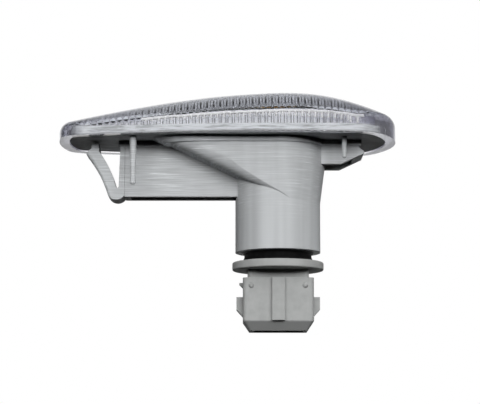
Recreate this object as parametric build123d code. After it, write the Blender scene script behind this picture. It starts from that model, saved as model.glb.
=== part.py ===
from build123d import *
import os
from math import asin, atan2, cos, degrees, radians, sqrt, tan

# Side repeater lamp for a car wing, in millimetres.
# The lens faces +Z, the wing panel is the plane Z = 0, the connector points to -Z.
# X runs along the lens, with the fixed hook at +X and the spring clip at -X.
# The origin is the middle of the lens rim, on the panel.

# Lens: a domed clear moulding with a straight rim
lens_length = 77.5
lens_width = 36.0
belly_x = 11.0
side_radius = 176.0
nose_sweep = 1.9
nose_corner = 5.0
tail_sweep = 6.7
tail_corner = 10.0
crest_x = 14.5
crest_z = 11.6
nose_z = 4.3
nose_angle = 12.7
tail_z = 5.0
tail_angle = 27.8
dome_radius = 26.5
tail_dome_radius = 38.5
dome_spans = 10
dome_overrun = 2.0
dome_wall = 2.2
rim_wall = 2.3
ledge_width = 0.8
shoulder_radius = 3.0

# Lens optics: flutes across the inside of the dome and up the inside of the long sides
flute_pitch = 1.45
flute_land = 0.09
flute_depth = 0.35
flute_inset = 0.6

# Housing: one moulding with flange, trough, tube, web, clip, hook and pins
flange_z = 0.3
flange_thickness = 1.7
flange_gap = 0.1
housing_wall = 1.45
tube_x = 11.55
tube_radius = 9.75
tube_end_z = -25.3
collar_radius = 10.95
collar_depth = 5.0
taper_depth = 9.0
floor_x = -15.35
floor_slope = 26.0
floor_round = 3.2

plinth_depth = 1.2
plinth_step = 0.45
plinth_round = 0.35

web_x = -23.55
web_bottom_z = -12.7
web_width = 6.4
web_wall = 1.4

clip_width = 6.8
clip_bar = 1.0
clip_reach = 8.9
clip_tip_z = -2.7
clip_neck = 1.7
clip_neck_step = 1.2
clip_top_gap = 0.8
clip_foot_width = 3.8
clip_foot_round = 1.05
clip_edge_round = 0.7
clip_bow = 0.5
clip_slot_depth = 10.3
clip_slot_width = 0.7
clip_bottom_z = -13.4

hook_end_x = 30.1
hook_tip = 1.1
hook_throat_z = -1.6
hook_tip_z = -2.4
hook_nose = 0.5
hook_flat_x = 26.0
hook_bottom_z = -5.35
hook_width = 9.6

left_pin_x = -21.3
left_pin_y = -9.4
left_pin_diameter = 1.5
left_pin_z = -10.8
right_pin_x = 26.45
right_pin_y = -9.0
right_pin_diameter = 1.15
right_pin_z = -4.7
pin_tip_share = 0.86
pin_end_round = 0.4

# Seal between tube and bulb holder
seal_gap = 0.05
seal_lip_radius = 8.15
seal_groove = 0.55
seal_lip_height = 1.2
seal_bead = 1.2
seal_top_z = -22.2

# Bulb holder with its connector shroud
holder_flange_diameter = 20.9
holder_flange_z = -27.6
holder_flange_thickness = 1.8
holder_edge = 0.3
socket_radius = 6.9
socket_top_z = -17.5
socket_floor_z = -25.2
pocket_depth_y = 10.0
pocket_width_x = 6.6
neck_width = 13.9
neck_depth = 8.4
neck_height = 2.0
shroud_width = 16.1
shroud_depth = 10.0
shroud_height = 9.75
shroud_corner = 1.0
mouth_height = 2.2
mouth_step = 1.45
mouth_wall = 0.95
cavity_floor_z = -33.6
key_width = 2.9
key_height = 1.0
bump_diameter = 1.2
bump_height = 0.5
bump_x = 6.1
bump_z = -33.2
lug_proud = 1.45
lug_width = 4.0
lug_top_z = -35.6
lug_flat = 2.8
lug_bottom_z = -40.0
nub_proud = 0.8
nub_width = 2.4
nub_top_z = -32.3
nub_flat = 0.3
nub_bottom_z = -33.4

# Terminals
blade_width = 2.8
blade_thickness = 0.8
blade_pitch = 5.0
blade_tip_z = -42.4
blade_bevel = 0.25
terminal_slot_gap = 0.03
contact_z = -20.6
contact_bend_z = -23.0
contact_top_z = -18.3
contact_flare = 0.7

# Wedge bulb
bulb_diameter = 10.0
bulb_top_z = 2.2
bulb_shoulder_z = -12.5
bulb_glass_wall = 0.6
wedge_width = 9.4
wedge_thickness = 2.2
wedge_bottom_z = -24.4
wedge_top_z = -15.5
lead_diameter = 0.5
lead_base_spread = 2.0
lead_spread = 4.4
lead_splay = 3.0
lead_loop = 0.5
lead_fold_z = -19.2
filament_z = -9.0
filament_diameter = 0.4
filament_rise = 1.6

# Derived places
nose_x = -lens_length / 2
tail_x = lens_length / 2
flange_top_z = flange_z + flange_thickness
side_wall = rim_wall + ledge_width
flute_radius = (flute_pitch - flute_land) / 2
side_center = side_radius - lens_width / 2
bore_radius = tube_radius - housing_wall
taper_angle = degrees(atan2(collar_radius - tube_radius, taper_depth))
holder_flange_bottom_z = holder_flange_z - holder_flange_thickness
shroud_top_z = holder_flange_bottom_z - neck_height
shroud_bottom_z = shroud_top_z - shroud_height
mouth_z = shroud_bottom_z - mouth_height
blade_x = blade_pitch / 2
tube_axis = Pos(tube_x, 0, 0)


def crown_z(x):
    """Height of the dome along its middle: a cubic to each tip that starts level at the crest."""
    tip_x, tip_z, angle = (nose_x, nose_z, nose_angle) if x < crest_x else (tail_x, tail_z, tail_angle)
    run = abs(tip_x - crest_x)
    share = abs(x - crest_x) / run
    drop = crest_z - tip_z
    fall = run * tan(radians(angle))
    return crest_z - (3 * drop - fall) * share**2 - (fall - 2 * drop) * share**3


def cross_radius(x):
    """Radius of the dome across the lens, which flattens towards the tail."""
    beyond = max(x - crest_x, 0.0) / (tail_x - crest_x)
    return dome_radius + (tail_dome_radius - dome_radius) * beyond**2


def side_y(x, inset=0.0):
    """Distance of the rim's long sides from the middle at x, drawn in by inset."""
    return sqrt((side_radius - inset) ** 2 - (x - belly_x) ** 2) - side_center


def end_cap(tip_x, sweep, inset):
    """Plan bounded by an end arc through the tip, which meets the sides a sweep behind it."""
    inward = 1 if tip_x < 0 else -1
    half = side_y(tip_x + inward * sweep)
    radius = (sweep**2 + half**2) / (2 * sweep)
    beyond = Pos(inward * lens_length / 2, 0) * Rectangle(lens_length, 2 * lens_width)
    return Pos(tip_x + inward * radius, 0) * (Circle(radius - inset) + beyond)


def rim_plan(inset=0.0):
    """Plan of the lens rim, drawn in by inset: two long side arcs and two end arcs."""
    plan = Pos(belly_x, side_center) * Circle(side_radius - inset)
    plan &= Pos(belly_x, -side_center) * Circle(side_radius - inset)
    plan &= end_cap(nose_x, nose_sweep, inset)
    plan &= end_cap(tail_x, tail_sweep, inset)
    nose_corners = [vertex for vertex in plan.vertices() if vertex.X < belly_x]
    plan = fillet(nose_corners, nose_corner - inset)
    tail_corners = plan.vertices().group_by(Axis.X)[-1]
    return fillet(tail_corners, tail_corner - inset)


def dome(wall=0.0):
    """Solid under the dome, or under its inner face when a wall is given."""
    sections = []
    start = nose_x - dome_overrun
    step = (lens_length + 2 * dome_overrun) / dome_spans
    for index in range(dome_spans + 1):
        x = start + index * step
        radius = cross_radius(x)
        arc_center = crown_z(x) - radius
        reach = lens_width / 2 + dome_overrun
        drop = radius - wall
        edge_z = arc_center + sqrt(drop**2 - reach**2)
        top = ThreePointArc((-reach, edge_z), (0, arc_center + drop), (reach, edge_z))
        base = Polyline((reach, edge_z), (reach, -lens_width), (-reach, -lens_width), (-reach, edge_z))
        sections.append(Plane.YZ.offset(x) * make_face([top, base]))
    return loft(sections)


def flute_places():
    """Places along X of the flutes, one pitch apart and centred on the lens."""
    count = int((lens_length - 2 * (side_wall + flute_inset)) / flute_pitch)
    return [(index - (count - 1) / 2) * flute_pitch for index in range(count)]


def dome_flutes():
    """Round grooves across the inside of the dome."""
    height = 2 * crest_z
    inside = extrude(rim_plan(side_wall + flute_inset), height)
    grooves = []
    for x in flute_places():
        radius = cross_radius(x)
        ring_radius = radius - dome_wall + flute_depth - flute_radius
        turn = degrees(asin(lens_width / 2 / ring_radius))
        circle = Plane.XZ * (Pos(0, ring_radius) * Circle(flute_radius))
        groove = revolve(Rot(turn, 0, 0) * circle, Axis.X, -2 * turn)
        grooves.append((Pos(x, 0, crown_z(x) - radius) * groove) & inside)
    return grooves


def fluted_plan():
    """Plan of the lens cavity, with a flute at each place along both long sides."""
    plan = rim_plan(side_wall)
    straight_start = nose_x + nose_sweep + nose_corner
    straight_end = tail_x - tail_sweep - tail_corner / 2
    for x in flute_places():
        if straight_start < x < straight_end:
            y = side_y(x, side_wall) + flute_depth - flute_radius
            plan += [Pos(x, side * y) * Circle(flute_radius) for side in (-1, 1)]
    return plan


def make_lens():
    """Clear cover: dome and rim, hollow inside, with a ledge that sits on the housing's flange."""
    height = 2 * crest_z
    outer = extrude(rim_plan(), height) & dome()
    shoulder = [edge for edge in outer.edges() if edge.bounding_box().min.Z > flange_z]
    outer = fillet(shoulder, shoulder_radius)
    cavity = (extrude(fluted_plan(), height) & dome(dome_wall)) + dome_flutes()
    rebate = extrude(rim_plan(rim_wall), flange_top_z)
    return outer - cavity - rebate


def trough_plan(radius):
    """Plan of the trough: straight sides that end in a half round about the tube."""
    run = tube_x - nose_x
    return tube_axis * (Circle(radius) + Pos(-run / 2, 0) * Rectangle(run, 2 * radius))


def trough(inset=0.0, top_z=flange_z):
    """Trough that falls along its sloped floor into the tube, drawn in by inset."""
    radius = collar_radius - inset
    straight = Pos(0, 0, -collar_depth) * extrude(trough_plan(radius), collar_depth + top_z)
    tapered = Pos(0, 0, -collar_depth) * extrude(
        trough_plan(radius), taper_depth, dir=(0, 0, -1), taper=taper_angle
    )
    slope = tan(radians(floor_slope))
    lead_in = floor_x - nose_x
    height = 2 * lens_length
    base_z = lead_in * slope + inset / cos(radians(floor_slope))
    section = Plane.YZ.offset(nose_x) * Pos(0, base_z + height / 2) * RectangleRounded(
        2 * radius, height, floor_round - inset
    )
    above_floor = extrude(section, 2 * lens_length, dir=(1, 0, -slope))
    return (straight + tapered) & above_floor


def profile_solid(points, width):
    """Solid with the given X-Z outline, as wide as stated and centred on Y = 0."""
    face = Plane.XZ * make_face(Polyline(points, close=True))
    return extrude(face, width / 2, both=True)


def web():
    """Stiffening channel under the flange, open below, from the clip to the tube."""
    length = tube_x - web_x
    height = flange_z - web_bottom_z
    block = Pos(web_x + length / 2, 0, web_bottom_z + height / 2) * Box(length, web_width, height)
    channel_height = height - flange_z - plinth_depth
    channel = Pos(web_x + web_wall + length / 2, 0, web_bottom_z + channel_height / 2) * Box(
        length, web_width - 2 * web_wall, channel_height
    )
    return block - channel


def bowed_arc(start, end, bow):
    """Arc from start to end whose middle stands off the straight line by bow."""
    middle_x = (start[0] + end[0]) / 2
    middle_z = (start[1] + end[1]) / 2
    run = end[0] - start[0]
    rise = end[1] - start[1]
    length = sqrt(run * run + rise * rise)
    return ThreePointArc(start, (middle_x - bow * rise / length, middle_z + bow * run / length), end)


def spring_clip():
    """V-shaped clip: a bar down the end of the web, a round foot and an arm that rises to its catch."""
    bar_x = web_x - clip_bar
    tip_x = web_x - clip_reach
    slot_z = -clip_slot_depth
    slot_right = bar_x - clip_slot_width / 2
    slot_left = slot_right - clip_slot_width
    slot_end = (slot_right - clip_slot_width / 2, slot_z - clip_slot_width / 2)
    foot_left = web_x - clip_foot_width
    foot_middle = web_x - clip_foot_width / 2
    foot_z = clip_bottom_z + clip_foot_round
    neck_left = tip_x + clip_neck_step
    neck_right = neck_left + clip_neck
    neck_z = flange_z - clip_top_gap
    catch_z = clip_tip_z + clip_neck_step
    root_z = clip_tip_z + clip_neck_step / 2
    edges = [
        Line((web_x, flange_z), (web_x, foot_z)),
        ThreePointArc((web_x, foot_z), (foot_middle, clip_bottom_z), (foot_left, foot_z)),
        bowed_arc((foot_left, foot_z), (tip_x, clip_tip_z), -clip_bow),
        Polyline((tip_x, clip_tip_z), (neck_left, catch_z), (neck_left, neck_z)),
        Polyline((neck_left, neck_z), (neck_right, neck_z), (neck_right, root_z)),
        bowed_arc((neck_right, root_z), (slot_left, slot_z), clip_bow),
        ThreePointArc((slot_left, slot_z), slot_end, (slot_right, slot_z)),
        Polyline((slot_right, slot_z), (bar_x, flange_z), (web_x, flange_z)),
    ]
    face = Plane.XZ * make_face(edges)
    clip = extrude(face, clip_width / 2, both=True)
    outside = clip.faces().filter_by(GeomType.CYLINDER).sort_by(Axis.X)[0]
    rounded = [edge for edge in outside.edges() if abs(edge.center().Y) > clip_width / 4]
    return fillet(rounded, clip_edge_round)


def fixed_hook():
    """Rigid hook beside the tube that goes under the panel first, hollow from below."""
    tip_x = hook_end_x + hook_tip
    outline = [
        (tube_x, flange_z),
        (hook_end_x, flange_z),
        (hook_end_x, hook_throat_z),
        (tip_x, hook_tip_z),
        (tip_x, hook_tip_z - hook_nose),
        (hook_flat_x, hook_bottom_z),
        (tube_x, hook_bottom_z),
    ]
    core_height = -plinth_depth - hook_bottom_z
    core_length = hook_end_x - web_wall - tube_x
    core = Pos(tube_x + core_length / 2, 0, hook_bottom_z + core_height / 2) * Box(
        core_length, hook_width - 2 * web_wall, core_height
    )
    return profile_solid(outline, hook_width) - core


def pin(x, y, diameter, end_z):
    """Round locating pin that hangs from the flange, a little narrower at its rounded end."""
    length = flange_z - end_z
    shank = Cone(pin_tip_share * diameter / 2, diameter / 2, length)
    shank = fillet(shank.edges().group_by(Axis.Z)[0], pin_end_round)
    return Pos(x, y, end_z + length / 2) * shank


def foot_plan(low_x, high_x, width):
    """Plan of a low foot round a straight wall between two places along X."""
    middle = Pos((low_x + high_x) / 2, 0)
    return middle * RectangleRounded(high_x - low_x + 2 * plinth_step, width + 2 * plinth_step, plinth_step)


def plinth():
    """Low foot round everything that stands under the flange."""
    height = flange_z + plinth_depth
    base = Pos(0, 0, -plinth_depth)
    foot = trough(-plinth_step) & (base * extrude(rim_plan(), height))
    foot += base * extrude(foot_plan(web_x - clip_bar, tube_x, web_width), height)
    foot += base * extrude(foot_plan(tube_x, hook_end_x, hook_width), height)
    lower = foot.edges().group_by(Axis.Z)[0]
    return fillet(lower, plinth_round)


def make_housing():
    """The grey moulding that closes the lens, holds the bulb and snaps into the panel."""
    flange = Pos(0, 0, flange_z) * extrude(rim_plan(rim_wall + flange_gap), flange_thickness)
    tube = tube_axis * Pos(0, 0, tube_end_z) * extrude(Circle(tube_radius), -tube_end_z)
    body = flange + trough() + tube + web() + spring_clip() + fixed_hook() + plinth()
    body += pin(left_pin_x, left_pin_y, left_pin_diameter, left_pin_z)
    body += pin(right_pin_x, right_pin_y, right_pin_diameter, right_pin_z)
    bore = tube_axis * Pos(0, 0, tube_end_z) * extrude(Circle(bore_radius), -tube_end_z - collar_depth)
    return body - trough(housing_wall, flange_top_z) - bore


def make_seal():
    """Rubber ring in the tube's end: a lip on the holder's flange and two beads in the bore."""
    fit_radius = bore_radius - seal_gap
    groove_radius = fit_radius - seal_groove
    lip_top = holder_flange_z + seal_lip_height
    with BuildSketch(Plane.XZ) as section:
        with BuildLine():
            Polyline(
                (socket_radius, holder_flange_z),
                (seal_lip_radius, holder_flange_z),
                (groove_radius, lip_top),
                (groove_radius, seal_top_z),
                (socket_radius, seal_top_z),
                close=True,
            )
        make_face()
        for level in (lip_top + seal_bead, seal_top_z - seal_bead):
            with Locations((fit_radius - seal_bead / 2, level)):
                Circle(seal_bead / 2)
    ring = revolve(section.sketch, Axis.Z)
    return tube_axis * ring


def terminal_outline(gap=0.0):
    """X-Z outline of the right terminal: straight blade, then a contact that leans in to the bulb."""
    half = blade_thickness / 2 + gap
    wire_x = wedge_thickness / 2 + lead_diameter + blade_thickness / 2
    center = [
        (blade_x, blade_tip_z),
        (blade_x, contact_bend_z),
        (wire_x, contact_z),
        (wire_x + contact_flare, contact_top_z),
    ]
    inner = [(x - half, z) for x, z in center]
    outer = [(x + half, z) for x, z in center]
    return inner + outer[::-1]


def make_terminal(side):
    """Flat terminal, a connector blade below and a spring contact for the bulb above."""
    strip = tube_axis * profile_solid(terminal_outline(), blade_width)
    tip_edges = [e for e in strip.edges() if e.bounding_box().max.Z < blade_tip_z + 0.01]
    strip = chamfer(tip_edges, blade_bevel)
    return strip if side > 0 else mirror(strip, Plane.YZ.offset(tube_x))


def terminal_slots():
    """Slots that carry both terminals through the floor between pocket and connector."""
    height = socket_floor_z - cavity_floor_z
    size = (blade_thickness + 2 * terminal_slot_gap, blade_width + 2 * terminal_slot_gap, height)
    middle = cavity_floor_z + height / 2
    return [Pos(side * blade_x, 0, middle) * Box(*size) for side in (-1, 1)]


def side_lug(side, proud, width, top_z, flat, bottom_z):
    """Lug on a narrow side of the shroud, with a flat face that slopes back below."""
    root = shroud_width / 2 - shroud_corner
    face = shroud_width / 2 + proud
    outline = [
        (side * root, top_z),
        (side * face, top_z),
        (side * face, top_z - flat),
        (side * shroud_width / 2, bottom_z),
        (side * root, bottom_z),
    ]
    return profile_solid(outline, width)


def make_holder():
    """Bulb holder: socket in the tube, round flange, and the connector shroud below."""
    socket = Pos(0, 0, holder_flange_z) * extrude(Circle(socket_radius), socket_top_z - holder_flange_z)
    disc = Pos(0, 0, holder_flange_bottom_z) * extrude(
        Circle(holder_flange_diameter / 2), holder_flange_thickness
    )
    disc = fillet(disc.edges(), holder_edge)
    neck = Pos(0, 0, shroud_top_z) * extrude(
        RectangleRounded(neck_width, neck_depth, shroud_corner), neck_height
    )
    shroud_plan = RectangleRounded(shroud_width, shroud_depth, shroud_corner)
    shroud = Pos(0, 0, shroud_bottom_z) * extrude(shroud_plan, shroud_height)
    mouth_plan = RectangleRounded(
        shroud_width - 2 * mouth_step, shroud_depth - 2 * mouth_step, shroud_corner / 2
    )
    mouth = loft([Pos(0, 0, shroud_bottom_z) * shroud_plan, Pos(0, 0, mouth_z) * mouth_plan])
    key = Pos(0, -shroud_depth / 2, (shroud_top_z + shroud_bottom_z) / 2) * Box(
        key_width, 2 * key_height, shroud_height
    )
    body = socket + disc + neck + shroud + mouth + key
    bump_radius = ((bump_diameter / 2) ** 2 + bump_height**2) / (2 * bump_height)
    for side in (-1, 1):
        bump_y = bump_radius - bump_height - shroud_depth / 2
        body += Pos(side * bump_x, bump_y, bump_z) * Sphere(bump_radius)
        body += side_lug(side, lug_proud, lug_width, lug_top_z, lug_flat, lug_bottom_z)
    body += side_lug(-1, nub_proud, nub_width, nub_top_z, nub_flat, nub_bottom_z)
    pocket = Pos(0, 0, socket_floor_z) * extrude(
        Rectangle(pocket_width_x, pocket_depth_y), socket_top_z - socket_floor_z
    )
    cavity_inset = 2 * (mouth_step + mouth_wall)
    cavity = Pos(0, 0, mouth_z) * extrude(
        RectangleRounded(shroud_width - cavity_inset, shroud_depth - cavity_inset, shroud_corner / 2),
        cavity_floor_z - mouth_z,
    )
    return tube_axis * (body - pocket - cavity - terminal_slots())


def lead_path(side):
    """Wire from its fold on the wedge, under the wedge and up to the filament."""
    base_y = side * lead_base_spread / 2
    top_y = side * lead_spread / 2
    fold_x = side * (wedge_thickness + lead_diameter) / 2
    loop_z = wedge_bottom_z - lead_diameter / 2
    points = [
        (fold_x, base_y, lead_fold_z),
        (fold_x, base_y, loop_z),
        (0, base_y, loop_z),
        (0, base_y, wedge_top_z),
        (0, top_y, wedge_top_z + lead_splay),
        (0, top_y, filament_z),
    ]
    return FilletPolyline(points, radius=lead_loop)


def make_lead(side):
    """One of the bulb's two lead wires."""
    path = lead_path(side)
    return tube_axis * sweep(Plane(path @ 0, z_dir=path % 0) * Circle(lead_diameter / 2), path)


def make_filament():
    """Coil that arches between the two leads, shown by its outer size."""
    half = lead_spread / 2
    top = filament_z + filament_rise
    points = [(0, -half, filament_z), (0, -half, top), (0, half, top), (0, half, filament_z)]
    path = FilletPolyline(points, radius=filament_rise / 2)
    return tube_axis * sweep(Plane(path @ 0, z_dir=path % 0) * Circle(filament_diameter / 2), path)


def bulb_form(shrink):
    """Round part of the bulb: neck, straight body and domed top, drawn in by shrink."""
    radius = bulb_diameter / 2 - shrink
    top = bulb_top_z - shrink
    spring = bulb_top_z - bulb_diameter / 2
    neck_radius = wedge_thickness / 2 + bulb_glass_wall
    start = wedge_top_z - (0 if shrink else bulb_glass_wall)
    with BuildSketch(Plane.XZ) as section:
        with BuildLine():
            Line((0, start), (neck_radius, start))
            Line((neck_radius, start), (radius, bulb_shoulder_z))
            Line((radius, bulb_shoulder_z), (radius, spring))
            RadiusArc((radius, spring), (0, top), -radius)
            Line((0, top), (0, start))
        make_face()
    return revolve(section.sketch, Axis.Z)


def make_bulb_glass():
    """Glass of the wedge bulb: a hollow envelope on a flat pressed base."""
    height = wedge_top_z - wedge_bottom_z
    wedge = Pos(0, 0, wedge_bottom_z + height / 2) * Box(wedge_thickness, wedge_width, height)
    glass = bulb_form(0) + wedge - bulb_form(bulb_glass_wall)
    return tube_axis * glass - make_lead(-1) - make_lead(1)


NODES = {
    "lens": make_lens,
    "housing": make_housing,
    "seal_ring": make_seal,
    "bulb_holder": make_holder,
    "terminal_left": lambda: make_terminal(-1),
    "terminal_right": lambda: make_terminal(1),
    "bulb_glass": make_bulb_glass,
    "bulb_filament": make_filament,
    "bulb_lead_left": lambda: make_lead(-1),
    "bulb_lead_right": lambda: make_lead(1),
}

os.makedirs("parts", exist_ok=True)
for node, make in NODES.items():
    export_step(make(), f"parts/{node}.step")
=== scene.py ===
import math

import bpy
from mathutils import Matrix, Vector
from mathutils.bvhtree import BVHTree


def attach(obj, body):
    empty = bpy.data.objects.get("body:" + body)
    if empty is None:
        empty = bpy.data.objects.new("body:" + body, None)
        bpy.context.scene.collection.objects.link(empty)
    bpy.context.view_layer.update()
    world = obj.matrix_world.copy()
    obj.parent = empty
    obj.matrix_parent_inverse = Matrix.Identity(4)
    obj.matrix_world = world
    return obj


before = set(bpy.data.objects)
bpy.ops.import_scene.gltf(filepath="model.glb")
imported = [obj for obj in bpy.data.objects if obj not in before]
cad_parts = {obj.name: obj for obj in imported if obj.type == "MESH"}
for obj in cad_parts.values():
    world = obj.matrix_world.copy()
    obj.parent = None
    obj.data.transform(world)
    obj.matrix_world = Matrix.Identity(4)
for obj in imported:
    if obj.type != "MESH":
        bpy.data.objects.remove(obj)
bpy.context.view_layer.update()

MM = 0.001
SCENE = bpy.context.scene

# Camera of the photograph: below the lamp and level with the tube, looking up at it
CAMERA_AIM = Vector((2.86, 0.0, -13.46)) * MM
CAMERA_DISTANCE = 400 * MM
CAMERA_RISE = math.radians(8.3)
CAMERA_LENS = 130.2
CAMERA_SENSOR = 36.0
CAMERA_NEAR = 10 * MM

# Colours are levels of grey times a tint, or red, green, blue and alpha.
# Tones are (place in the noise, level of grey). Scales of noise are per metre along X, Y and Z.

# Moulded plastic
PLASTIC_IOR = 1.46
PLASTIC_SPECULAR = 0.004
ROUGHNESS_SPAN = 0.08
EDGE_SAMPLES = 4
MARK_STRENGTH = 0.3
MARK_DEPTH = 0.05 * MM
GRAIN_STRENGTH = 0.25
GRAIN_DEPTH = 0.03 * MM

# Housing: drag marks are strong on the web, weaker on the trough and faint on the tube; the marks are real,
# and their near-white top tone is a painted highlight for their sparkle
HOUSING_TINT = (0.97, 1.0, 1.02)
HOUSING_TONES_AND_GLINTS = [(0.36, 0.44), (0.5, 0.54), (0.6, 0.61), (0.69, 0.92)]
HOUSING_MARKS = (100.0, 300.0, 5600.0)
DRAG_Z = -10 * MM
CALM_Z = -19 * MM
TUBE_MARKS = 0.08
DRAG_X = -6 * MM
CALM_X = 6 * MM
TROUGH_MARKS = 0.4
BAND_SCALE = (260.0, 260.0, 12.0)
BAND_TONES = [(0.35, 0.47), (0.65, 0.56)]

# Side of the housing's flange: painted shade at its lower edge, and above it near-white scuffed tones that
# paint the highlight seen through the lens rim
FLANGE_UNDER_Z = -0.2 * MM
FLANGE_SHADE_Z = 0.1 * MM
FLANGE_HIGHLIGHT_Z = 0.8 * MM
FLANGE_SHADE_TONE = 0.3
SCUFF_SCALE = (200.0, 300.0, 2200.0)
SCUFF_HIGHLIGHT_TONES = [(0.38, 0.5), (0.5, 0.86), (0.6, 0.98)]

# Bulb holder: painted shade, a darker tone on the slope around the connector's mouth
HOLDER_TINT = (0.98, 1.0, 0.99)
HOLDER_TONES = [(0.3, 0.365), (0.7, 0.42)]
HOLDER_MARKS = (500.0, 500.0, 500.0)
MOUTH_EDGE_Z = -41.1 * MM
MOUTH_SHADE_Z = -41.5 * MM
MOUTH_SHADE_TONE = 0.24

# Clear plastic and glass, with faint flow marks
CLEAR_IOR = 1.49
FLOW_SCALE = (60.0, 60.0, 240.0)
FLOW_LOW = 0.35
FLOW_HIGH = 0.65
FLOW_DIM = 0.96
FLOW_STRENGTH = 0.15
FLOW_DEPTH = 0.05 * MM

# The lens is clear up to the housing's flange, tinted above it and darkest at its solid tips
RIM_CLEAR_Z = 1.9 * MM
RIM_TINT_Z = 2.6 * MM
ENDS_START = 16 * MM
ENDS_FULL = 34 * MM
TIP_START = 32 * MM
TIP_FULL = 37 * MM
LENS_RIM = (0.99, 0.99, 1.0, 1.0)
LENS_ENDS = (0.54, 0.54, 0.6, 1.0)
LENS_TIPS = (0.24, 0.24, 0.3, 1.0)

# Drawn metal
LINE_SCALE = (6000.0, 6000.0, 150.0)
LINE_LOW = 0.3
LINE_HIGH = 0.7

# Near-white painted highlight for the lens bead, and rubber
SKIN_STRENGTH = 0.2
SKIN_DEPTH = 0.04 * MM
GLINT_ROUGHNESS = 0.3
GLINT_SCALE = (700.0, 700.0, 700.0)
GLINT_TONES = [(0.3, 0.8), (0.45, 1.0)]
RUBBER_ROUGHNESS = 0.55
RUBBER_SPECULAR = 0.06
RUBBER_SCALE = (900.0, 900.0, 900.0)
RUBBER_TONES = [(0.3, 0.003), (0.75, 0.008)]

# Painted highlight: a white bead inside the lens stands for the bright line along the tops of the lower
# flutes.
# The inner wall is probed at one height and followed up in steps until it turns in.
FLUTE_PITCH = 1.45 * MM
BEAD_START = -19 * MM
BEAD_END = 30 * MM
BEAD_RADIUS = 0.24 * MM
BEAD_ROUND_STEPS = 2
BEAD_PROBE_Z = 2.2 * MM
BEAD_STEP = 0.1 * MM
BEAD_TURN = 0.2 * MM
BEAD_TRIES = 8
BEAD_TAIL_LEFT = 0.4 * MM
BEAD_TAIL_RIGHT = 1.2 * MM

# Room around the lamp, which changes with the Y or Z part of the direction a ray looks in
BACK_WALL_START = 0.84
BACK_WALL_END = 0.97
SIDE_WALL = 0.3
CEILING_START = 0.4
CEILING_END = 0.7
CEILING = 0.03
FILL_START = 0.35
FILL_END = 0.65
FILL_BELOW = 0.0
FILL_ABOVE = 0.4
WHITE = 1.0

# Floor
FLOOR_Z = -200 * MM
FLOOR_SIZE = 6.0
FLOOR_TONE = 0.85
FLOOR_GLOW = 0.9
FLOOR_GLOW_SHARE = 0.7
FLOOR_DIM_TONE = 0.002

# Lamps, in metres and watts
LAMPS = {
    "front": {"place": (0.05, -0.95, 0.22), "width": 1.6, "height": 0.25, "energy": 8.5, "mirrored": False},
    "sheen": {"place": (0.05, -0.95, 0.22), "width": 1.6, "height": 0.25, "energy": 4.5, "mirrored": True},
    "key": {"place": (0.3, -0.75, 0.5), "width": 0.6, "height": 0.6, "energy": 2.0, "mirrored": True},
    "top": {"place": (0.05, 0.15, 0.8), "width": 0.6, "height": 0.6, "energy": 4.0, "mirrored": False},
    "back": {"place": (0.05, 0.95, 0.3), "width": 0.7, "height": 0.3, "energy": 9.0, "mirrored": False},
}
LIGHT_BOUNCES = 32
DIFFUSE_BOUNCES = 1


# Node helpers

def new_material(name):
    """Material with an empty node tree and its output node."""
    material = bpy.data.materials.new(name)
    material.use_nodes = True
    tree = material.node_tree
    tree.nodes.clear()
    output = tree.nodes.new("ShaderNodeOutputMaterial")
    return material, tree, output


def add(tree, kind, **settings):
    """Node of that kind: a setting that the node doesn't have itself goes to its input of that name."""
    node = tree.nodes.new(kind)
    for name, value in settings.items():
        if hasattr(node, name):
            setattr(node, name, value)
        else:
            node.inputs[name].default_value = value
    return node


def join(tree, source, target):
    """Link between two sockets."""
    tree.links.new(source, target)


def stretched_noise(tree, scale, detail=3.0, roughness=0.55):
    """Noise over the object's own coordinates, with a scale per metre along each axis."""
    place = add(tree, "ShaderNodeTexCoord")
    mapping = add(tree, "ShaderNodeMapping", Scale=scale)
    join(tree, place.outputs["Object"], mapping.inputs["Vector"])
    noise = add(tree, "ShaderNodeTexNoise", Scale=1.0, Detail=detail, Roughness=roughness)
    join(tree, mapping.outputs["Vector"], noise.inputs["Vector"])
    return noise.outputs["Fac"]


def ramp(tree, source, stops):
    """Colour ramp from (position, colour) stops."""
    node = add(tree, "ShaderNodeValToRGB")
    elements = node.color_ramp.elements
    while len(elements) < len(stops):
        elements.new(0.5)
    for element, (position, colour) in zip(elements, stops):
        element.position = position
        element.color = colour
    join(tree, source, node.inputs["Fac"])
    return node.outputs["Color"]


def grey(level, tint=(1.0, 1.0, 1.0)):
    """Opaque colour of that level, times a tint."""
    return (level * tint[0], level * tint[1], level * tint[2], 1.0)


def toned(tree, source, tones, tint=(1.0, 1.0, 1.0)):
    """Ramp over (position, level of grey) tones, times a tint."""
    return ramp(tree, source, [(position, grey(level, tint)) for position, level in tones])


def bump(tree, source, strength, distance):
    """Bump node over a height."""
    node = add(tree, "ShaderNodeBump", Strength=strength, Distance=distance)
    join(tree, source, node.inputs["Height"])
    return node


def along(tree, axis, start, end, least=0.0, mirrored=False):
    """From least to 1 between two places on an axis of the object's own frame, or on both its halves."""
    place = add(tree, "ShaderNodeTexCoord")
    split = add(tree, "ShaderNodeSeparateXYZ")
    join(tree, place.outputs["Object"], split.inputs["Vector"])
    source = split.outputs[axis]
    if mirrored:
        reach = add(tree, "ShaderNodeMath", operation="ABSOLUTE")
        join(tree, source, reach.inputs[0])
        source = reach.outputs["Value"]
    share = add(tree, "ShaderNodeMapRange")
    share.inputs["From Min"].default_value = start
    share.inputs["From Max"].default_value = end
    share.inputs["To Min"].default_value = least
    join(tree, source, share.inputs["Value"])
    return share.outputs["Result"]


def blended(tree, share, first, second):
    """Colour between two, each a colour or a socket."""
    node = add(tree, "ShaderNodeMix", data_type="RGBA")
    join(tree, share, node.inputs["Factor"])
    for value, socket in ((first, node.inputs["A"]), (second, node.inputs["B"])):
        if isinstance(value, tuple):
            socket.default_value = value
        else:
            join(tree, value, socket)
    return node.outputs["Result"]


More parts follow.
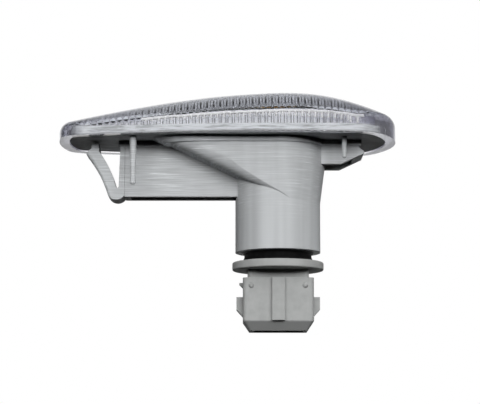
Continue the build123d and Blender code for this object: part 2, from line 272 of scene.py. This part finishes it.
def vary_roughness(tree, source, roughness, surface):
    """Lets a surface's roughness follow a noise, a little to both sides of its own value."""
    gloss = add(tree, "ShaderNodeMapRange")
    gloss.inputs["To Min"].default_value = roughness - ROUGHNESS_SPAN
    gloss.inputs["To Max"].default_value = roughness + ROUGHNESS_SPAN
    join(tree, source, gloss.inputs["Value"])
    join(tree, gloss.outputs["Result"], surface.inputs["Roughness"])


# Materials

def moulded_plastic(name, tint, tones, mark_scale, grain_scale, roughness, edge_round, finish):
    """Matt moulded plastic: marks in its tones over a fine grain, with slightly rounded edges."""
    material, tree, output = new_material(name)
    surface = add(tree, "ShaderNodeBsdfPrincipled", IOR=PLASTIC_IOR)
    surface.inputs["Specular IOR Level"].default_value = PLASTIC_SPECULAR
    drag = stretched_noise(tree, mark_scale, detail=4.0, roughness=0.6)
    grain = stretched_noise(tree, (grain_scale, grain_scale, grain_scale), detail=2.0)
    colour = finish(tree, toned(tree, drag, tones, tint))
    join(tree, colour, surface.inputs["Base Color"])
    vary_roughness(tree, drag, roughness, surface)
    edges = add(tree, "ShaderNodeBevel", samples=EDGE_SAMPLES, Radius=edge_round)
    marks = bump(tree, drag, MARK_STRENGTH, MARK_DEPTH)
    join(tree, edges.outputs["Normal"], marks.inputs["Normal"])
    fine = bump(tree, grain, GRAIN_STRENGTH, GRAIN_DEPTH)
    join(tree, marks.outputs["Normal"], fine.inputs["Normal"])
    join(tree, fine.outputs["Normal"], surface.inputs["Normal"])
    join(tree, surface.outputs["BSDF"], output.inputs["Surface"])
    return material


def housing_marks_and_painted_light(tree, colour):
    """Drag marks that fade out on the tube, which has upright bands, and the side of the flange, with painted
    shade at its lower edge and scuffed near-white tones above it that paint a highlight.
    """
    bands = stretched_noise(tree, BAND_SCALE, detail=2.0)
    calm = toned(tree, bands, BAND_TONES, HOUSING_TINT)
    colour = blended(tree, along(tree, "Z", CALM_Z, DRAG_Z, TUBE_MARKS), calm, colour)
    colour = blended(tree, along(tree, "X", CALM_X, DRAG_X, TROUGH_MARKS), calm, colour)
    # Near-white scuffed tones: a painted highlight on the flange's side, seen through the lens rim
    scuffs = stretched_noise(tree, SCUFF_SCALE, detail=5.0, roughness=0.7)
    bright = toned(tree, scuffs, SCUFF_HIGHLIGHT_TONES, HOUSING_TINT)
    # Painted shade along the lower edge of the flange's side
    painted_shade = grey(FLANGE_SHADE_TONE, HOUSING_TINT)
    side = blended(tree, along(tree, "Z", FLANGE_SHADE_Z, FLANGE_HIGHLIGHT_Z), painted_shade, bright)
    return blended(tree, along(tree, "Z", FLANGE_UNDER_Z, FLANGE_SHADE_Z), colour, side)


def holder_painted_shade(tree, colour):
    """Painted shade: darker tone on the slope around the connector's mouth."""
    # Painted shade on the mouth's slope, where it faces down away from the lamps
    painted_shade = grey(MOUTH_SHADE_TONE, HOLDER_TINT)
    return blended(tree, along(tree, "Z", MOUTH_SHADE_Z, MOUTH_EDGE_Z), painted_shade, colour)


def lens_finish(tree, colour):
    """Darker towards the ends, clear at the rim and darkest at the tips."""
    colour = blended(tree, along(tree, "X", ENDS_START, ENDS_FULL, mirrored=True), colour, LENS_ENDS)
    colour = blended(tree, along(tree, "Z", RIM_CLEAR_Z, RIM_TINT_Z), LENS_RIM, colour)
    return blended(tree, along(tree, "X", TIP_START, TIP_FULL, mirrored=True), colour, LENS_TIPS)


def clear_plastic(name, tint, roughness, lamp_tint, depth_tint, density, finish=None):
    """Clear moulding with faint flow marks, darker where it is thick, which lets lamps shine through it."""
    material, tree, output = new_material(name)
    surface = add(tree, "ShaderNodeBsdfPrincipled", IOR=CLEAR_IOR, Roughness=roughness)
    surface.inputs["Transmission Weight"].default_value = 1.0
    flow = stretched_noise(tree, FLOW_SCALE, detail=2.0)
    dim_tint = grey(FLOW_DIM, tint)
    colour = ramp(tree, flow, [(FLOW_LOW, dim_tint), (FLOW_HIGH, tint)])
    if finish:
        colour = finish(tree, colour)
    join(tree, colour, surface.inputs["Base Color"])
    wave = bump(tree, flow, FLOW_STRENGTH, FLOW_DEPTH)
    join(tree, wave.outputs["Normal"], surface.inputs["Normal"])
    lamps = add(tree, "ShaderNodeBsdfTransparent", Color=lamp_tint)
    path = add(tree, "ShaderNodeLightPath")
    mix = add(tree, "ShaderNodeMixShader")
    join(tree, path.outputs["Is Shadow Ray"], mix.inputs["Fac"])
    join(tree, surface.outputs["BSDF"], mix.inputs[1])
    join(tree, lamps.outputs["BSDF"], mix.inputs[2])
    join(tree, mix.outputs["Shader"], output.inputs["Surface"])
    depth = add(tree, "ShaderNodeVolumeAbsorption", Color=depth_tint, Density=density)
    join(tree, depth.outputs["Volume"], output.inputs["Volume"])
    return material


def drawn_metal(name, low, high, roughness):
    """Metal strip or wire with fine lines along its length."""
    material, tree, output = new_material(name)
    surface = add(tree, "ShaderNodeBsdfPrincipled", Metallic=1.0)
    lines = stretched_noise(tree, LINE_SCALE)
    join(tree, ramp(tree, lines, [(LINE_LOW, low), (LINE_HIGH, high)]), surface.inputs["Base Color"])
    vary_roughness(tree, lines, roughness, surface)
    join(tree, surface.outputs["BSDF"], output.inputs["Surface"])
    return material


def dress_skin(tree, surface, output, noise, tones):
    """Gives a surface tones and a shallow bump from the same noise."""
    join(tree, toned(tree, noise, tones), surface.inputs["Base Color"])
    skin = bump(tree, noise, SKIN_STRENGTH, SKIN_DEPTH)
    join(tree, skin.outputs["Normal"], surface.inputs["Normal"])
    join(tree, surface.outputs["BSDF"], output.inputs["Surface"])


def glint_white(name):
    """Near-white surface with a faint cloud in it, which paints the glint of the lens bead."""
    material, tree, output = new_material(name)
    surface = add(tree, "ShaderNodeBsdfPrincipled", Roughness=GLINT_ROUGHNESS)
    cloud = stretched_noise(tree, GLINT_SCALE)
    dress_skin(tree, surface, output, cloud, GLINT_TONES)
    return material


def rubber(name):
    """Black moulded rubber with a faint bloom."""
    material, tree, output = new_material(name)
    surface = add(tree, "ShaderNodeBsdfPrincipled", Roughness=RUBBER_ROUGHNESS)
    surface.inputs["Specular IOR Level"].default_value = RUBBER_SPECULAR
    bloom = stretched_noise(tree, RUBBER_SCALE, detail=4.0)
    dress_skin(tree, surface, output, bloom, RUBBER_TONES)
    return material


HOUSING = moulded_plastic(
    "housing_grey",
    tint=HOUSING_TINT,
    tones=HOUSING_TONES_AND_GLINTS,
    mark_scale=HOUSING_MARKS,
    grain_scale=9000.0,
    roughness=0.42,
    edge_round=0.25 * MM,
    finish=housing_marks_and_painted_light,
)
HOLDER = moulded_plastic(
    "holder_grey",
    tint=HOLDER_TINT,
    tones=HOLDER_TONES,
    mark_scale=HOLDER_MARKS,
    grain_scale=7000.0,
    roughness=0.5,
    edge_round=0.2 * MM,
    finish=holder_painted_shade,
)
LENS = clear_plastic(
    "lens_clear",
    tint=(0.87, 0.88, 0.91, 1.0),
    roughness=0.02,
    lamp_tint=(0.985, 0.985, 0.99, 1.0),
    depth_tint=(0.58, 0.6, 0.66, 1.0),
    density=30.0,
    finish=lens_finish,
)
AMBER = clear_plastic(
    "bulb_amber",
    tint=(1.0, 0.8, 0.52, 1.0),
    roughness=0.01,
    lamp_tint=(1.0, 0.88, 0.66, 1.0),
    depth_tint=(1.0, 0.64, 0.26, 1.0),
    density=50.0,
)
# Near-white material of the bead that paints the lens's glint
GLINT_WHITE = glint_white("lens_glint_white")
SEAL = rubber("seal_black")
BRASS = drawn_metal(
    "terminal_brass", low=(0.6, 0.56, 0.47, 1.0), high=(0.78, 0.75, 0.66, 1.0), roughness=0.3
)
WIRE = drawn_metal(
    "bulb_wire", low=(0.42, 0.42, 0.44, 1.0), high=(0.6, 0.6, 0.62, 1.0), roughness=0.35
)

NODE_MATERIALS = {
    "lens": LENS,
    "housing": HOUSING,
    "seal_ring": SEAL,
    "bulb_holder": HOLDER,
    "terminal_left": BRASS,
    "terminal_right": BRASS,
    "bulb_glass": AMBER,
    "bulb_filament": WIRE,
    "bulb_lead_left": WIRE,
    "bulb_lead_right": WIRE,
}


def dress_nodes():
    """Gives each CAD node its material."""
    for name, material in NODE_MATERIALS.items():
        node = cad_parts[name]
        node.data.materials.clear()
        node.data.materials.append(material)


# Painted highlight: white bead for the bright line inside the lens

def wall_at(tree, x, z):
    """Y of the lens's inner wall on the photographed side."""
    return tree.ray_cast(Vector((x, 0.0, z)), Vector((0.0, -1.0, 0.0)))[0].y


def wall_top(tree, x, wall_y):
    """Height at which the inner wall turns into the dome."""
    z = BEAD_PROBE_Z
    while wall_at(tree, x, z + BEAD_STEP) < wall_y + BEAD_TURN:
        z += BEAD_STEP
    return z


def add_run(curve, points, side):
    """Run of the bead through some points, on one side of the lens."""
    run = curve.splines.new("POLY")
    run.points.add(len(points) - 1)
    for place, (x, y, z) in zip(run.points, points):
        place.co = (x, side * y, z, 1.0)


def bead_runs():
    """Points of the bead's long edge on the lands between the flutes, and of its short tail in each flute."""
    tree = BVHTree.FromObject(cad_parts["lens"], bpy.context.evaluated_depsgraph_get())
    count = int((BEAD_END - BEAD_START) / FLUTE_PITCH)
    edge = []
    tails = []
    for index in range(count + 1):
        start = BEAD_START + index * FLUTE_PITCH
        places = [start + share * FLUTE_PITCH / BEAD_TRIES for share in range(BEAD_TRIES)]
        walls = {x: wall_at(tree, x, BEAD_PROBE_Z) for x in places}
        land = max(places, key=walls.get)
        flute = min(places, key=walls.get)
        top = wall_top(tree, land, walls[land])
        edge.append((land, walls[land], top))
        share = index / count
        length = BEAD_TAIL_LEFT + share * (BEAD_TAIL_RIGHT - BEAD_TAIL_LEFT)
        bottom = max(top - length, BEAD_PROBE_Z)
        tails.append([(flute, walls[flute], top), (flute, walls[flute], bottom)])
    return [edge] + tails


def make_glint_bead():
    """Stands for the bright line that light draws along the tops of the lower flutes, on both sides."""
    curve = bpy.data.curves.new("lens_glint_bead", "CURVE")
    curve.dimensions = "3D"
    curve.bevel_depth = BEAD_RADIUS
    curve.bevel_resolution = BEAD_ROUND_STEPS
    curve.use_fill_caps = True
    runs = bead_runs()
    for side in (1, -1):
        for points in runs:
            add_run(curve, points, side)
    # The bead's near-white material paints a highlight
    curve.materials.append(GLINT_WHITE)
    bead = bpy.data.objects.new("lens_glint_bead", curve)
    SCENE.collection.objects.link(bead)
    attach(bead, "root")


# Studio

def any_of(tree, path, names):
    """1 for rays of any of the named kinds, otherwise 0."""
    result = path.outputs[names[0]]
    for name in names[1:]:
        node = add(tree, "ShaderNodeMath", operation="MAXIMUM")
        join(tree, result, node.inputs[0])
        join(tree, path.outputs[name], node.inputs[1])
        result = node.outputs["Value"]
    return result


def make_world():
    """White for the camera, a room with a white back wall for glass and gloss, and a fill from above."""
    world = bpy.data.worlds.new("studio")
    world.use_nodes = True
    tree = world.node_tree
    tree.nodes.clear()
    output = tree.nodes.new("ShaderNodeOutputWorld")
    place = add(tree, "ShaderNodeTexCoord")
    split = add(tree, "ShaderNodeSeparateXYZ")
    join(tree, place.outputs["Generated"], split.inputs["Vector"])
    wall_tones = [(BACK_WALL_START, SIDE_WALL), (BACK_WALL_END, WHITE)]
    ceiling_tones = [(CEILING_START, WHITE), (CEILING_END, CEILING)]
    fill_tones = [(FILL_START, FILL_BELOW), (FILL_END, FILL_ABOVE)]
    room = add(tree, "ShaderNodeMix", data_type="RGBA", blend_type="MULTIPLY")
    room.inputs["Factor"].default_value = 1.0
    join(tree, toned(tree, split.outputs["Y"], wall_tones), room.inputs["A"])
    join(tree, toned(tree, split.outputs["Z"], ceiling_tones), room.inputs["B"])
    fill = toned(tree, split.outputs["Z"], fill_tones)
    path = add(tree, "ShaderNodeLightPath")
    mirrored = any_of(tree, path, ["Is Glossy Ray", "Is Transmission Ray"])
    studio = blended(tree, mirrored, fill, room.outputs["Result"])
    shown = blended(tree, path.outputs["Is Camera Ray"], studio, grey(WHITE))
    background = add(tree, "ShaderNodeBackground", Strength=1.0)
    join(tree, shown, background.inputs["Color"])
    join(tree, background.outputs["Background"], output.inputs["Surface"])
    SCENE.world = world


def mixed(tree, share, first, second):
    """Shader between two, by a share that is a number or a socket."""
    node = add(tree, "ShaderNodeMixShader")
    if isinstance(share, float):
        node.inputs["Fac"].default_value = share
    else:
        join(tree, share, node.inputs["Fac"])
    join(tree, first, node.inputs[1])
    join(tree, second, node.inputs[2])
    return node.outputs["Shader"]


def floor_material():
    """Pale and evenly lit for rays that show it, dark for rays that carry light, and open from underneath."""
    material, tree, output = new_material("floor_pale")
    lit = add(tree, "ShaderNodeBsdfDiffuse", Color=grey(FLOOR_TONE))
    glow = add(tree, "ShaderNodeEmission", Color=grey(FLOOR_GLOW), Strength=1.0)
    pale = mixed(tree, FLOOR_GLOW_SHARE, lit.outputs["BSDF"], glow.outputs["Emission"])
    dim = add(tree, "ShaderNodeBsdfDiffuse", Color=grey(FLOOR_DIM_TONE))
    path = add(tree, "ShaderNodeLightPath")
    showing = any_of(tree, path, ["Is Camera Ray", "Is Glossy Ray", "Is Transmission Ray"])
    upper = mixed(tree, showing, dim.outputs["BSDF"], pale)
    side = add(tree, "ShaderNodeNewGeometry")
    clear = add(tree, "ShaderNodeBsdfTransparent")
    whole = mixed(tree, side.outputs["Backfacing"], upper, clear.outputs["BSDF"])
    join(tree, whole, output.inputs["Surface"])
    return material


def make_floor():
    """Square floor well below the lamp."""
    half = FLOOR_SIZE / 2
    corners = [(x * half, y * half, FLOOR_Z) for x, y in ((-1, -1), (1, -1), (1, 1), (-1, 1))]
    mesh = bpy.data.meshes.new("floor")
    mesh.from_pydata(corners, [], [(0, 1, 2, 3)])
    mesh.materials.append(floor_material())
    floor = bpy.data.objects.new("floor", mesh)
    SCENE.collection.objects.link(floor)


def make_softbox(name, place, width, height, energy, mirrored):
    """Area lamp that faces the object, and that gloss and glass may show or not."""
    lamp = bpy.data.lights.new(name, "AREA")
    lamp.shape = "RECTANGLE"
    lamp.size = width
    lamp.size_y = height
    lamp.energy = energy
    thing = bpy.data.objects.new(name, lamp)
    thing.location = place
    thing.rotation_euler = (CAMERA_AIM - Vector(place)).to_track_quat("-Z", "Y").to_euler()
    thing.visible_glossy = mirrored
    thing.visible_transmission = mirrored
    SCENE.collection.objects.link(thing)


def make_camera():
    """Camera of the photograph."""
    camera = bpy.data.cameras.new("camera")
    camera.sensor_fit = "HORIZONTAL"
    camera.sensor_width = CAMERA_SENSOR
    camera.lens = CAMERA_LENS
    camera.clip_start = CAMERA_NEAR
    thing = bpy.data.objects.new("camera", camera)
    back = Vector((0.0, -math.cos(CAMERA_RISE), -math.sin(CAMERA_RISE)))
    thing.location = CAMERA_AIM + CAMERA_DISTANCE * back
    thing.rotation_euler = (math.pi / 2 + CAMERA_RISE, 0.0, 0.0)
    SCENE.collection.objects.link(thing)
    SCENE.camera = thing


def set_light_paths():
    """Enough bounces for the clear pieces, one for matt ones, and no caustics."""
    SCENE.cycles.max_bounces = LIGHT_BOUNCES
    SCENE.cycles.diffuse_bounces = DIFFUSE_BOUNCES
    SCENE.cycles.glossy_bounces = LIGHT_BOUNCES
    SCENE.cycles.transmission_bounces = LIGHT_BOUNCES
    SCENE.cycles.caustics_refractive = False
    SCENE.cycles.caustics_reflective = False


SCENE.view_settings.view_transform = "Standard"
set_light_paths()
dress_nodes()
make_glint_bead()
make_world()
make_floor()
for lamp_name, settings in LAMPS.items():
    make_softbox(lamp_name, **settings)
make_camera()
